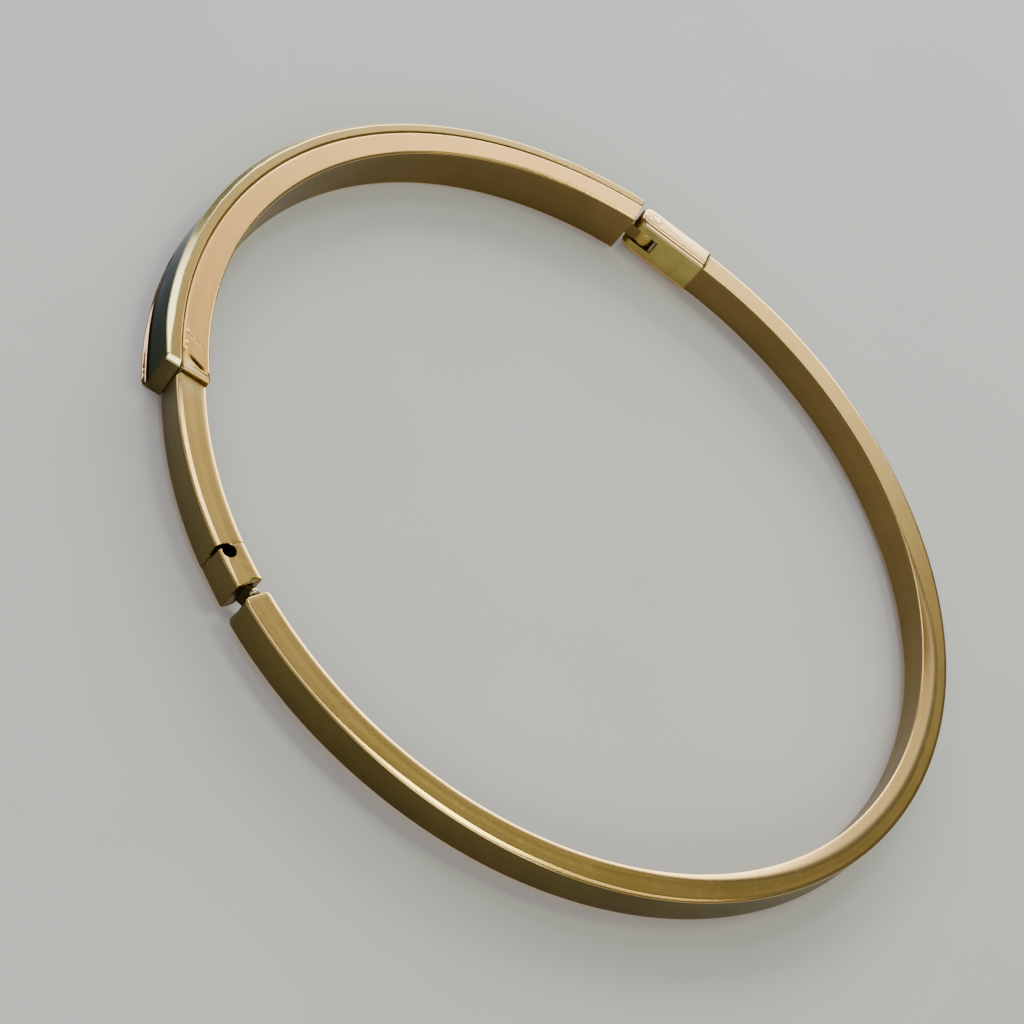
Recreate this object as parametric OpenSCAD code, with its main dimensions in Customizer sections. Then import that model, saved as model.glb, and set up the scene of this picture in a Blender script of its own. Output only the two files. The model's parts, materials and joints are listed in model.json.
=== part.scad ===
// Hinged bangle: a plain band that opens at a clasp, with a wider two-layer arch at its front.
// The ring's centre is the origin, +Z runs along the ring's axis, and z = 0 is the plane it rests on.
// The arch faces -Y, the clasp lies towards +X and the hinge on the other side of the arch.

/* [Ring] */
// Inner diameter of the plain ring
ring_inner_d = 59; // [56:0.5:64]
// Thickness of the plain band along the radius
band_t = 2.1; // [1.9:0.1:2.4]
// Width of the plain band along the ring's axis
band_w = 2.7; // [2.5:0.1:3]
// Width of the polished bevels on the band's edges
bevel_w = 0.45; // [0.3:0.05:0.55]
// Drop of those bevels along the ring's axis
bevel_drop = 0.1; // [0.05:0.05:0.3]

/* [Front arch] */
// Width of the arch along the ring's axis
arch_w = 3.7; // [3.5:0.1:4]
// Half of the angle that the arch spans
arch_half = 52; // [48:1:56]
// How far the middle of the arch stands outside the plain ring
arch_bulge = 0.8; // [0.4:0.1:1]
// Thickness of the arch's inner layer, which carries on as the plain band
layer_t = 1.95; // [1.85:0.05:2.1]
// Thickness of the cover that lies on it
cover_t = 1.4; // [1.2:0.1:1.6]
// Length of the cover's sloped lip at the clasp end of the arch
lip_l = 0.25; // [0.15:0.05:0.4]

/* [Clasp] */
// Angle of the seam between the front band and the clasp box
seam_at = -13.3; // [-13.4:0.1:-13]
// Angle of the clasp box's open end
box_end_at = -7.9; // [-8.2:0.1:-7.6]
// Angle of the rear band's end across the gap
rear_end_at = -6.35; // [-6.6:0.05:-5.9]
// Length of the tongue in front of the rear band's end
tongue_l = 1.7; // [1.5:0.1:1.9]
// Thickness of the tongue along the radius
tongue_t = 0.45; // [0.35:0.05:0.5]
// Height of the tongue along the ring's axis
tongue_h = 1.8; // [1.4:0.1:1.9]
// Angle of the round notch beside the seam
notch_at = -12.6; // [-12.7:0.1:-12.5]
// Diameter of that notch
notch_d = 0.9; // [0.85:0.05:1.1]

/* [Hinge] */
// Angle at which the straight hinge block meets the rear band
block_at = 205.5; // [205:0.5:206]
// Length of the hinge block
block_l = 6.3; // [6.1:0.1:6.4]
// Width of the hinge block along the ring's axis
block_w = 3.4; // [3.2:0.1:3.4]
// Diameter of the hinge pin
pin_d = 0.9; // [0.7:0.1:1]

/* [Hidden] */

// Gap between pieces that are fitted together, and the running gap round the hinge pin
seam = 0.03;
running = 0.04;
// Clearance round the tongue in its box
tongue_play = 0.1;
round_fn = 120;
small_fn = 32;

ring_r = ring_inner_d / 2;
ring_out_r = ring_r + band_t;
mid_r = ring_r + band_t / 2;
band_low = (arch_w - band_w) / 2;
band_top = band_low + band_w;
block_low = (arch_w - block_w) / 2;
block_top = block_low + block_w;

// The arch is one circular arc that meets the ring's inner circle at both of its ends.
arch_mid_r = ring_r + arch_bulge;
arch_shift = (pow(arch_mid_r, 2) - pow(ring_r, 2)) / (2 * (arch_mid_r - ring_r * cos(arch_half)));
arch_proud = 0.05;
arch_r = arch_mid_r - arch_shift - arch_proud;
arch_out_r = arch_r + layer_t + cover_t;
arch_end = atan2(ring_r * sin(arch_half), ring_r * cos(arch_half) - arch_shift);
lip_drop = 0.2;
// The arch's clasp end is cut at a slant that crosses its nominal end at this distance from its inner face.
end_turn = 24;
end_crossing = 1.27;
end_spare = 1.5;
// The inner layer's lip starts on a steeper slant, from nothing at the inner face to its longest at the groove.
layer_lip_turn = 45;
layer_lip_slope = 14;
// The plain band starts just inside the slanted end, by this angle.
band_start_in = 0.35;
band_start = 270 + arch_half - band_start_in;
arch_chamfer = 0.15;
groove_chamfer = 0.06;
cover_bevel_w = 0.5;
cover_bevel_drop = 0.3;
cover_low_bevel = 0.2;
// The cover's outer face leans in towards the top.
cover_lean = 0.25;
cover_top_r = arch_out_r - cover_lean;
// A stub of the plain band runs into the arch's inner layer as one piece of metal.
stub_inset = 0.3;
stub_angle = 2;

// The hinge pin stands in the straight block, and the arch's end plane clears the block's round corners.
pin_back = 1.3;
block_corner = 0.5;
block_bevel = 0.3;
arch_gap = 0.3;
pin_x = block_l - pin_back;
pin_r = pin_d / 2;
ear_h = 1.05;
knuckle_r = 0.98;
knuckle_gap = 0.06;
knuckle_low = block_low + ear_h + knuckle_gap;
knuckle_h = block_w - 2 * (ear_h + knuckle_gap);
web_t = 0.85;
web_past = 0.8;
slot_depth = 1.15;
pin_short = 0.03;
pin_pos = [
    mid_r * cos(block_at) - pin_x * sin(block_at),
    mid_r * sin(block_at) + pin_x * cos(block_at)
];

// The tongue bends round the hinge pin, so that it leaves its box freely.
tongue_root_r = ring_r + 0.5;
tongue_start = [tongue_root_r * cos(rear_end_at), tongue_root_r * sin(rear_end_at)];
tongue_reach = norm(tongue_start - pin_pos);
tongue_dir = atan2(tongue_start[1] - pin_pos[1], tongue_start[0] - pin_pos[0]);
tongue_low = band_low + (band_w - tongue_h) / 2;
tongue_angle = tongue_l / tongue_reach * 180 / PI;
box_travel_angle = 0.9;
root_angle = 2.4;
root_in = 0.2;
root_t = 1;
notch_r = ring_r + 1.37;
notch_depth = 1.2;
notch_slot_w = 0.3;
box_recess = 0.06;
bore_past = 1;

// Section of a band with two outer and two inner bevels, drawn with the radius along X
module bevelled_section(r0, r1, low, top, out_w, out_drop, in_w, in_drop) {
    polygon([
        [r0 + in_w, low], [r1 - out_w, low], [r1, low + out_drop], [r1, top - out_drop],
        [r1 - out_w, top], [r0 + in_w, top], [r0, top - in_drop], [r0, low + in_drop]
    ]);
}

module band_section(recess = 0) {
    bevelled_section(ring_r, ring_out_r - recess, band_low, band_top,
        bevel_w, bevel_drop, bevel_w, bevel_drop);
}

// Turns a section round the ring's axis from one angle to another
module sweep(from, to) {
    rotate([0, 0, from])
        rotate_extrude(angle = to - from, $fn = round_fn)
            children();
}

// The same about the arch's centre, running past both of its ends
module arch_sweep() {
    translate([0, -arch_shift, 0])
        sweep(270 - arch_end, 270 + arch_end + end_spare)
            children();
}

// Places a piece at the clasp end of the arch: X outward, Y along the arch towards the clasp
module at_arch_end() {
    translate([0, -arch_shift, 0])
        rotate([0, 0, 270 + arch_end])
            translate([arch_r, 0, 0])
                children();
}

// Places a piece in the hinge block's frame: X along the block towards the arch, Y inward
module at_block() {
    rotate([0, 0, block_at])
        translate([mid_r, 0, 0])
            rotate([0, 0, 90])
                children();
}

// Removes a sloped lip at the arch's clasp end, above and below
module lip_cut(length, turn, slope) {
    across = layer_t + cover_t + 2;
    at_arch_end()
        for (side = [0, 1])
            translate([0, 0, side * arch_w])
                mirror([0, 0, 1 - side])
                    translate([0, -length, 0])
                        rotate([0, 0, -turn])
                            translate([-1, 0, 0])
                                rotate([-slope, 0, 0])
                                    cube([across, across, 1]);
}

// Everything beyond the arch's slanted end at the clasp side
module clasp_end_cut() {
    at_arch_end()
        translate([end_crossing, 0, -1])
            rotate([0, 0, -end_turn])
                translate([-arch_w, 0, 0])
                    cube([2 * arch_w, arch_w, arch_w + 2]);
}

// Everything beyond the arch's end plane at the hinge
module hinge_end_cut() {
    at_block()
        translate([-block_l, -block_l, -1])
            cube([2 * block_l + arch_gap, 3 * block_l, arch_w + 2]);
}

module notch() {
    rotate([0, 0, notch_at]) {
        translate([notch_r, 0, band_top - notch_depth])
            cylinder(d = notch_d, h = notch_depth + 1, $fn = small_fn);
        translate([notch_r, -notch_d / 2, band_top - notch_depth])
            cube([band_t, notch_slot_w, notch_depth + 1]);
    }
}

// A bar bent round the hinge pin between two angles, measured from the tongue's root
module pin_arc(back, ahead, half_t, low, high) {
    translate([pin_pos[0], pin_pos[1], 0])
        sweep(tongue_dir - ahead, tongue_dir + back)
            translate([tongue_reach - half_t, low])
                square([2 * half_t, high - low]);
}

module front_band() {
    color([0.80, 0.68, 0.47])
        difference() {
            union() {
                difference() {
                    arch_sweep()
                        bevelled_section(arch_r, arch_r + layer_t, 0, arch_w,
                            groove_chamfer, groove_chamfer, arch_chamfer, arch_chamfer);
                    lip_cut(0, layer_lip_turn, layer_lip_slope);
                    clasp_end_cut();
                    hinge_end_cut();
                }
                sweep(band_start, 360 + seam_at)
                    band_section();
                sweep(270 + arch_half - stub_angle, 270 + arch_half + stub_angle)
                    translate([ring_r + stub_inset, band_low + stub_inset])
                        square([band_t - 2 * stub_inset, band_w - 2 * stub_inset]);
                front_knuckle();
            }
            notch();
            at_block()
                translate([pin_x, 0, -bore_past])
                    cylinder(r = pin_r + running, h = arch_w + 2 * bore_past, $fn = small_fn);
        }
}

// The round knuckle of the front half and the web that joins it to the arch
module front_knuckle() {
    at_block()
        translate([pin_x, 0, knuckle_low]) {
            cylinder(r = knuckle_r, h = knuckle_h, $fn = 2 * small_fn);
            cube([pin_back + arch_gap + web_past, web_t, knuckle_h]);
        }
}

module front_cover() {
    color([0.83, 0.73, 0.50])
        difference() {
            arch_sweep()
                polygon([
                    [arch_r + layer_t + seam + groove_chamfer, 0],
                    [arch_out_r - cover_low_bevel, 0],
                    [arch_out_r, cover_low_bevel],
                    [cover_top_r, arch_w - cover_bevel_drop],
                    [cover_top_r - cover_bevel_w, arch_w],
                    [arch_r + layer_t + seam + groove_chamfer, arch_w],
                    [arch_r + layer_t + seam, arch_w - groove_chamfer],
                    [arch_r + layer_t + seam, groove_chamfer]
                ]);
            lip_cut(lip_l - end_crossing * tan(end_turn), end_turn, atan(lip_drop / lip_l));
            clasp_end_cut();
            hinge_end_cut();
        }
}

module clasp_box() {
    seam_angle = seam / ring_r * 180 / PI;
    color([0.78, 0.67, 0.46])
        difference() {
            sweep(seam_at + seam_angle, box_end_at)
                band_section(box_recess);
            pin_arc(-0.1, tongue_angle + box_travel_angle, tongue_t / 2 + tongue_play,
                tongue_low - tongue_play, tongue_low + tongue_h + tongue_play);
            notch();
        }
}

module rear_band() {
    color([0.76, 0.64, 0.42])
        difference() {
            sweep(rear_end_at, block_at)
                band_section();
            sweep(rear_end_at - 1, rear_end_at + root_angle)
                translate([ring_r + root_in, tongue_low - seam])
                    square([root_t, tongue_h + 2 * seam]);
        }
}

module clasp_tongue() {
    color([0.85, 0.77, 0.58])
        union() {
            sweep(rear_end_at + 0.1, rear_end_at + root_angle - 0.1)
                translate([ring_r + root_in + seam, tongue_low])
                    square([root_t - 2 * seam, tongue_h]);
            pin_arc(0.1, tongue_angle, tongue_t / 2, tongue_low, tongue_low + tongue_h);
        }
}

// Outline of the hinge block seen along the ring's axis, with its two free corners rounded
module block_outline() {
    steps = 5;
    half = band_t / 2;
    corner = [block_l - block_corner, half - block_corner];
    polygon(concat(
        [[seam, -half]],
        [for (i = [0 : steps]) corner_point(corner, -90 + 90 * i / steps, -1)],
        [for (i = [0 : steps]) corner_point(corner, 90 * i / steps, 1)],
        [[seam, half]]
    ));
}

function corner_point(corner, angle, side) = [
    corner[0] + block_corner * cos(angle),
    side * corner[1] + block_corner * sin(angle)
];

module hinge_block() {
    half = band_t / 2;
    color([0.86, 0.77, 0.62])
        difference() {
            at_block()
                intersection() {
                    linear_extrude(arch_w)
                        block_outline();
                    rotate([90, 0, 90])
                        linear_extrude(block_l)
                            bevelled_section(-half, half, block_low, block_top,
                                block_bevel, block_bevel, block_bevel, block_bevel);
                }
            at_block()
                translate([pin_x - slot_depth, -band_t, block_low + ear_h])
                    cube([block_l, 2 * band_t, block_w - 2 * ear_h]);
            at_block()
                translate([pin_x, 0, 0])
                    cylinder(r = pin_r + seam, h = arch_w, $fn = small_fn);
        }
}

module hinge_pin() {
    color([0.70, 0.60, 0.42])
        at_block()
            translate([pin_x, 0, block_low + pin_short])
                cylinder(r = pin_r, h = block_w - 2 * pin_short, $fn = small_fn);
}

front_band();
front_cover();
clasp_box();
rear_band();
clasp_tongue();
hinge_block();
hinge_pin();
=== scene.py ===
"""A hinged gold-tone bangle lying on a pale floor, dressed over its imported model."""

import json
import math

import bmesh
import bpy
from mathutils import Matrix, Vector, kdtree, noise


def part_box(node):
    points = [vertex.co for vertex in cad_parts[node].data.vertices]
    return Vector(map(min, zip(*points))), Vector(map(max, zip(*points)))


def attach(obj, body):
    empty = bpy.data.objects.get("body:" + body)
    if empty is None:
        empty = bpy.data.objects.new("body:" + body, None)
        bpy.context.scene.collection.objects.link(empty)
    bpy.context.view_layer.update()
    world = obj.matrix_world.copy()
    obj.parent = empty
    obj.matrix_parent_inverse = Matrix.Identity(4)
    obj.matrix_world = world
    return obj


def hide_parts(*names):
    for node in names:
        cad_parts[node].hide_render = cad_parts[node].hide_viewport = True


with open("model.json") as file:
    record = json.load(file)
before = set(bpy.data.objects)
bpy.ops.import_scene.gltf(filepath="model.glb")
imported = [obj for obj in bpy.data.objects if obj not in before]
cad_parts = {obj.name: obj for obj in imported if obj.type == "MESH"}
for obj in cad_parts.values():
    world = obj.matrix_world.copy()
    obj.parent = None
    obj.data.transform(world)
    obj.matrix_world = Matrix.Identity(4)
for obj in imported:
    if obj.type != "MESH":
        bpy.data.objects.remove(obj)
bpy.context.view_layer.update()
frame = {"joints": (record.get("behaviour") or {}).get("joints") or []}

MM = 0.001


def millimetres(point):
    return [value / MM for value in point]


# The bangle's sizes in millimetres, read from the frame where it states them

rear_low, rear_high = [millimetres(corner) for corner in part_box("rear_band")]
arch_high = millimetres(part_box("front_cover")[1])
block_low, block_high = [millimetres(corner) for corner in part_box("hinge_block")]
PIN = millimetres(frame["joints"][0]["pos_m"])[:2]

BAND_T = 2.1
OUT_R = rear_high[1]
RING_R = OUT_R - BAND_T
MID_R = RING_R + BAND_T / 2
BAND_LOW = rear_low[2]
BAND_TOP = rear_high[2]
ARCH_W = arch_high[2]

# Angles round the ring, in degrees from +X
SEAM_AT = -13.3
NOTCH_AT = -12.6
BOX_END = -7.9
REAR_END = -6.35
BLOCK_AT = 205.5

# How much the edges are rounded at the seam, and the gap in it
SEAM_ROUND = 0.012
SEAM_GAP = 0.012

# The arch is an arc about a centre of its own, on the ring's Y axis
ARCH_HALF = 52.0
ARCH_BULGE = 0.8
ARCH_PROUD = 0.05
LAYER_T = 1.95
COVER_T = 1.4
COVER_LEAN = 0.25
GROOVE_W = 0.03
arch_mid = RING_R + ARCH_BULGE
cos_half = math.cos(math.radians(ARCH_HALF))
sin_half = math.sin(math.radians(ARCH_HALF))
ARCH_SHIFT = (arch_mid ** 2 - RING_R ** 2) / (2 * (arch_mid - RING_R * cos_half))
ARCH_R = arch_mid - ARCH_SHIFT - ARCH_PROUD
ARCH_END = math.atan2(RING_R * sin_half, RING_R * cos_half - ARCH_SHIFT)
ARCH_LAST = math.radians(270) + ARCH_END
LAYER_R = ARCH_R + LAYER_T
COVER_R = LAYER_R + GROOVE_W
ARCH_OUT_R = LAYER_R + COVER_T

# The slanted end of the arch at the clasp side
END_TURN = math.radians(24)
END_CROSSING = 1.27
LIP_TURN = math.radians(45)

# The straight hinge block, seen from its root on the ring
BLOCK_L = 6.3
ARCH_GAP = 0.3
PIN_BACK = 1.3
PIN_X = BLOCK_L - PIN_BACK

RING = (0.0, 0.0)
ARCH = (0.0, -ARCH_SHIFT)

# Finishes of a swept piece, in the order of its material slots
FLAT, BEVEL, OUTER, INNER, CUT, ARCH_FLAT, ARCH_INNER = range(7)

# Edges between faces that turn by more than this stay hard
SHARP_FROM = math.radians(40)


# Outlines


# The largest share of a side that the rounding of one corner takes, and the least radius
ROUND_SHARE = 0.45
LEAST_ROUND = 0.01


def shrunk(corners, inset):
    """The corners of a convex outline, counter-clockwise, with every side moved inward."""
    count = len(corners)
    lines = []
    for index in range(count):
        x0, y0 = corners[index]
        x1, y1 = corners[(index + 1) % count]
        length = math.hypot(x1 - x0, y1 - y0)
        dx, dy = (x1 - x0) / length, (y1 - y0) / length
        lines.append((x0 - dy * inset, y0 + dx * inset, dx, dy))
    moved = []
    for index in range(count):
        ax, ay, adx, ady = lines[index - 1]
        bx, by, bdx, bdy = lines[index]
        cross = adx * bdy - ady * bdx
        along = ((bx - ax) * bdy - (by - ay) * bdx) / cross
        moved.append((ax + adx * along, ay + ady * along))
    return moved


def rounded_outline(corners, radii, fills, finishes, inset=0.0, arc_steps=6):
    """Points (r, z, finish, edge) round a convex outline with rounded corners and divided sides.

    Side number i runs from corner i to the next. A corner takes the bevel's finish where it meets one.
    """
    corners = shrunk(corners, inset) if inset else corners
    count = len(corners)
    points = []
    ends = []
    for index in range(count):
        before, here, after = (Vector(corners[(index + k) % count]) for k in (-1, 0, 1))
        into = (here - before).normalized()
        out = (after - here).normalized()
        turn = math.acos(max(-1.0, min(1.0, into.dot(out))))
        room = ROUND_SHARE * min((here - before).length, (after - here).length)
        radius = max(LEAST_ROUND, radii[index] - inset)
        back = min(room, radius * math.tan(turn / 2))
        radius = back / math.tan(turn / 2)
        start = here - into * back
        centre = start + Vector((-into.y, into.x)) * radius
        first = math.atan2(-into.x, into.y)
        side_before, side_after = finishes[index - 1], finishes[index]
        finish = BEVEL if BEVEL in (side_before, side_after) else side_after
        arc = []
        for step in range(arc_steps + 1):
            share = step / arc_steps
            angle = first + turn * share
            # Across a corner's arc the edge value rises to one: wear, partly a painted highlight along the
            # rounded edge.
            edge = math.sin(math.pi * share)
            place = centre + Vector((math.cos(angle), math.sin(angle))) * radius
            arc.append((place.x, place.y, finish if step < arc_steps else side_after, edge))
        ends.append(arc)
    for index in range(count):
        arc, following = ends[index], ends[(index + 1) % count]
        points += arc
        a, b = Vector(arc[-1][:2]), Vector(following[0][:2])
        for step in range(1, fills[index] + 1):
            share = 0.5 - 0.5 * math.cos(math.pi * step / (fills[index] + 1))
            place = a.lerp(b, share)
            points.append((place.x, place.y, finishes[index], 0.0))
    return points


def band_corners(r0, r1, low, top, bevel_out, drop_out, bevel_in, drop_in):
    """Corners of a band's section, counter-clockwise from its lower inner side."""
    return [
        (r0 + bevel_in, low), (r1 - bevel_out, low), (r1, low + drop_out), (r1, top - drop_out),
        (r1 - bevel_out, top), (r0 + bevel_in, top), (r0, top - drop_in), (r0, low + drop_in),
    ]


BAND_FINISHES = [FLAT, BEVEL, OUTER, BEVEL, FLAT, BEVEL, INNER, BEVEL]
SOFT_FINISHES = [FLAT, BEVEL, OUTER, BEVEL, FLAT, FLAT, INNER, FLAT]


# Swept pieces


ROW_SPACING = 0.3
END_STEPS = 5
TINY = 1e-6


def rows_along(length, spacing, first_r, last_r=None, fine_to=0.0, fine_spacing=0.1):
    """Rows (share of the length, inset, wear with painted highlight) from one rounded end to the other,
    closer near the far end.
    """
    last_r = first_r if last_r is None else last_r
    turns = [math.pi / 2 * step / END_STEPS for step in range(END_STEPS)]
    rounding = [(1 - math.cos(turn), 1 - math.sin(turn), math.sin(2 * turn)) for turn in turns]
    rows = [(first_r * away, first_r * inset, wear_and_highlight) for away, inset, wear_and_highlight in rounding]
    tail = [(length - last_r * away, last_r * inset, wear_and_highlight) for away, inset, wear_and_highlight in reversed(rounding)]
    place = first_r
    while place < length - last_r - TINY:
        rows.append((place, 0.0, 0.0))
        place += fine_spacing if place > length - fine_to else spacing
    if length - last_r - rows[-1][0] < 0.4 * min(spacing, fine_spacing):
        rows.pop()
    rows.append((length - last_r, 0.0, 0.0))
    return [(away / length, inset, wear_and_highlight) for away, inset, wear_and_highlight in rows + tail]


def sweep(name, centre, start_at, end_at, rows, outline, shape=None):
    """A closed mesh from outlines carried round a centre.

    start_at and end_at give the angle in radians at which a point of radius r starts and ends, outline gives
    the section's points at a share of the way and an inset, and shape may move a point (r, angle, z).
    """
    mesh = bmesh.new()
    edge_layer = mesh.verts.layers.float.new("edge")
    rings = []
    for share, inset, wear_and_highlight in rows:
        ring = []
        for r, z, finish, edge in outline(share, inset):
            angle = start_at(r) + (end_at(r) - start_at(r)) * share
            if shape:
                r, angle, z = shape(r, angle, z)
            place = (centre[0] + r * math.cos(angle), centre[1] + r * math.sin(angle), z)
            vertex = mesh.verts.new([value * MM for value in place])
            # The edge value paints wear and highlight on rounded corners and ends; outer walls take only the
            # corners'.
            vertex[edge_layer] = edge if finish == OUTER else max(edge, wear_and_highlight)
            ring.append((vertex, finish))
        rings.append(ring)
    for ring, following in zip(rings, rings[1:]):
        count = len(ring)
        for index in range(count):
            after = (index + 1) % count
            face = mesh.faces.new((ring[index][0], following[index][0], following[after][0], ring[after][0]))
            face.material_index = ring[index][1]
    for ring in (rings[0], rings[-1]):
        mesh.faces.new([vertex for vertex, finish in ring]).material_index = CUT
    bmesh.ops.recalc_face_normals(mesh, faces=mesh.faces)
    return finished_object(name, mesh)


def placed(name, data):
    """A new object in the scene."""
    made = bpy.data.objects.new(name, data)
    bpy.context.scene.collection.objects.link(made)
    return made


def finished_object(name, mesh):
    """Turns a bmesh into a smooth-shaded object whose hard edges stay hard."""
    data = bpy.data.meshes.new(name)
    mesh.to_mesh(data)
    mesh.free()
    data.shade_smooth()
    data.set_sharp_from_angle(angle=SHARP_FROM)
    return placed(name, data)


def edges_of(piece):
    """A piece's vertices, each with its edge value: above zero where worn or given a painted highlight, below
    zero where painted shade darkens it.
    """
    return zip(piece.data.vertices, piece.data.attributes["edge"].data)


SAME_PLACE = 0.005


def merged(target, tool, operation):
    """Joins the tool to the target, or cuts it away, and removes the tool."""
    known = [(vertex.co.copy(), edge.value) for piece in (target, tool) for vertex, edge in edges_of(piece)]
    modifier = target.modifiers.new(operation, "BOOLEAN")
    modifier.operation = operation
    modifier.solver = "EXACT"
    modifier.object = tool
    bpy.context.view_layer.update()
    evaluated = target.evaluated_get(bpy.context.evaluated_depsgraph_get())
    data = bpy.data.meshes.new_from_object(evaluated)
    target.modifiers.clear()
    target.data = data
    bpy.data.objects.remove(tool)
    target.data.set_sharp_from_angle(angle=SHARP_FROM)
    tree = kdtree.KDTree(len(known))
    for index, (place, value) in enumerate(known):
        tree.insert(place, index)
    tree.balance()
    for vertex, edge in edges_of(target):
        index, distance = tree.find(vertex.co)[1:]
        edge.value = known[index][1] if distance < SAME_PLACE * MM else 0.0
    return target


def joined(piece, tool):
    return merged(piece, tool, "UNION")


def cut(piece, tool):
    return merged(piece, tool, "DIFFERENCE")


WAVES_ROUND = 2.3
WAVE_GAIN = 1.6
WALL_WANDER = 0.012
TOP_WANDER = 0.014
ARCH_WANDER = 0.008


def slow_wave(angle, seed, size=1.0):
    """A gentle wander along the band, as hand filing leaves it, between about -1 and 1."""
    place = Vector((math.cos(angle) * WAVES_ROUND * size, math.sin(angle) * WAVES_ROUND * size, seed))
    return WAVE_GAIN * noise.noise(place)


def smooth(low, high, value):
    """Zero up to the first bound, one past the second and an even rise between, either way round."""
    share = max(0.0, min(1.0, (value - low) / (high - low)))
    return share * share * (3 - 2 * share)


def constant(degrees):
    return lambda r: math.radians(degrees)


# The plain band


# The bevels' widths, the drop for each millimetre of width, and where they change, in degrees
INNER_BEVEL_W = 0.3
INNER_WIDER = 0.54
INNER_WIDENS = (48, 90)
INNER_FLATTENS = 126
INNER_NARROWS = 130
INNER_LEAST_W = 0.06
INNER_DROP = 0.225
BEVEL_RUN_OUT = 157
BEVEL_WANDER = 0.025
OUTER_BEVEL_W = 0.2
OUTER_WIDER = 0.15
OUTER_DROP = 0.235
NEAR_SIDE = (6, 26, 36, 74)
REAR_STARTS = (-12, -8)


def bevel_steepness(degrees):
    """Share of the inner bevel's slope that is left where it flattens out towards its end."""
    return 1 - 0.8 * smooth(INNER_FLATTENS, BEVEL_RUN_OUT - 4, degrees)


def inner_bevel_at(angle):
    """Width and drop of the inner bevel, filed wider past the side of the ring and running out beyond it."""
    degrees = math.degrees(angle)
    width = INNER_BEVEL_W + INNER_WIDER * smooth(*INNER_WIDENS, degrees)
    width += BEVEL_WANDER * slow_wave(angle, seed=3.0, size=2)
    width -= (width - INNER_LEAST_W) * smooth(INNER_NARROWS, BEVEL_RUN_OUT, degrees)
    return width, INNER_DROP * width * bevel_steepness(degrees)


def outer_bevel_at(angle):
    """Width and drop of the outer bevel, which is widest on the near side."""
    degrees = math.degrees(angle)
    near = smooth(*NEAR_SIDE[:2], degrees) * (1 - smooth(*NEAR_SIDE[2:], degrees))
    stretch = 1 - smooth(*REAR_STARTS, degrees)
    width = OUTER_BEVEL_W + OUTER_WIDER * max(near, stretch)
    width += 0.8 * BEVEL_WANDER * slow_wave(angle, seed=8.0, size=2)
    return width, OUTER_DROP * width


def band_outline(start, end, recess=0.0):
    """Section of the plain band at a share of the way between two angles in degrees."""
    def outline(share, inset):
        degrees = start + (end - start) * share
        angle = math.radians(degrees)
        soft = smooth(BEVEL_RUN_OUT - 10, BEVEL_RUN_OUT + 8, degrees)
        corners = band_corners(RING_R, OUT_R - recess, BAND_LOW, BAND_TOP,
                               *outer_bevel_at(angle), *inner_bevel_at(angle))
        inner_r = 0.13 - 0.06 * smooth(120, 138, degrees) * (1 - soft) + 0.14 * soft
        upper_r = (1.2 + 2.4 * smooth(60, 95, degrees)) / bevel_steepness(degrees)
        radii = [1.2, 0.5, 0.13, 0.08 + 0.1 * soft, 0.5, upper_r, inner_r, inner_r]
        finishes = SOFT_FINISHES if degrees > BEVEL_RUN_OUT else BAND_FINISHES
        return rounded_outline(corners, radii, [5, 1, 3, 1, 5, 1, 3, 1], finishes, inset)
    return outline


def hand_filed(r, angle, z):
    """Slight wander of the band's surfaces."""
    high = smooth(BAND_LOW, BAND_TOP, z) - 0.5
    lift = TOP_WANDER * high * slow_wave(angle, seed=5.0)
    return r + WALL_WANDER * slow_wave(angle, seed=1.0), angle, z + lift


def rounded_back(r, outer, inner):
    """Turn by which a band's end is set back by its outer and inner rounding, each a size and a reach."""
    outer_round = outer[0] * smooth(OUT_R - outer[1], OUT_R, r) ** 2
    inner_round = inner[0] * smooth(RING_R + inner[1], RING_R, r) ** 2
    return (outer_round + inner_round) / MID_R


def make_rear_band():
    length = math.radians(BLOCK_AT - REAR_END) * MID_R
    rows = rows_along(length, ROW_SPACING, 0.14)

    def start_at(r):
        return math.radians(REAR_END) + rounded_back(r, (0.35, 0.45), (0.25, 0.3))

    return sweep("rear_band_gold", RING, start_at, constant(BLOCK_AT), rows,
                 band_outline(REAR_END, BLOCK_AT), hand_filed)


# The front half: the arch's inner layer, the plain stretch and the hinge knuckle as one piece


def hinge_plane_at(r):
    """Angle about the arch's centre at which the arch ends short of the hinge block."""
    facing = math.radians(BLOCK_AT + 90)
    reach = BLOCK_L + ARCH_GAP + ARCH_SHIFT * math.sin(facing)
    return facing - math.acos(reach / r)


def slanted_end_at(r):
    """Angle about the arch's centre at which the arch's slanted clasp end lies."""
    return ARCH_LAST - END_TURN + math.asin(math.sin(END_TURN) * (ARCH_R + END_CROSSING) / r)


def back_from_end(r, angle):
    """Distance along the arch back from its nominal end."""
    return (ARCH_LAST - angle) * r


# The lip at the arch's clasp end: x lies across the layer from its inner face, back along the arch
LIP_REACH = 6
LIP_SKIN = 0.3
SAW_CUT = {"from_x": 0.36, "to_x": 1.6, "fade": 0.5, "width": 0.32, "depth": 0.22}
FINE_CUT = {"from_x": 0.15, "to_x": 1.3, "fade": 0.2, "width": 0.1, "depth": 0.08}
FINE_LEAD = 0.62
FINE_OFFSET = 0.3
SCRATCH = {"width": 0.08, "depth": 0.018}
BURR = {"height": 0.03, "spread": 0.012}
BURRS = [(1.7, 3.26), (1.7, 2.28), (1.76, 1.74)]
SCRATCHES = [((1.75, 3.70), (0.5, 2.13)), ((1.03, 2.67), (0.5, 2.22)), ((1.45, 2.9), (0.75, 2.15))]
LIP_SLOPE = math.tan(math.radians(10))
LIP_HIGHLIGHT_FADE = 0.15


def groove(distance, width):
    """Share of its depth that a rounded groove has at a distance from its line."""
    return 1 - smooth(0, width / 2, abs(distance))


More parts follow.
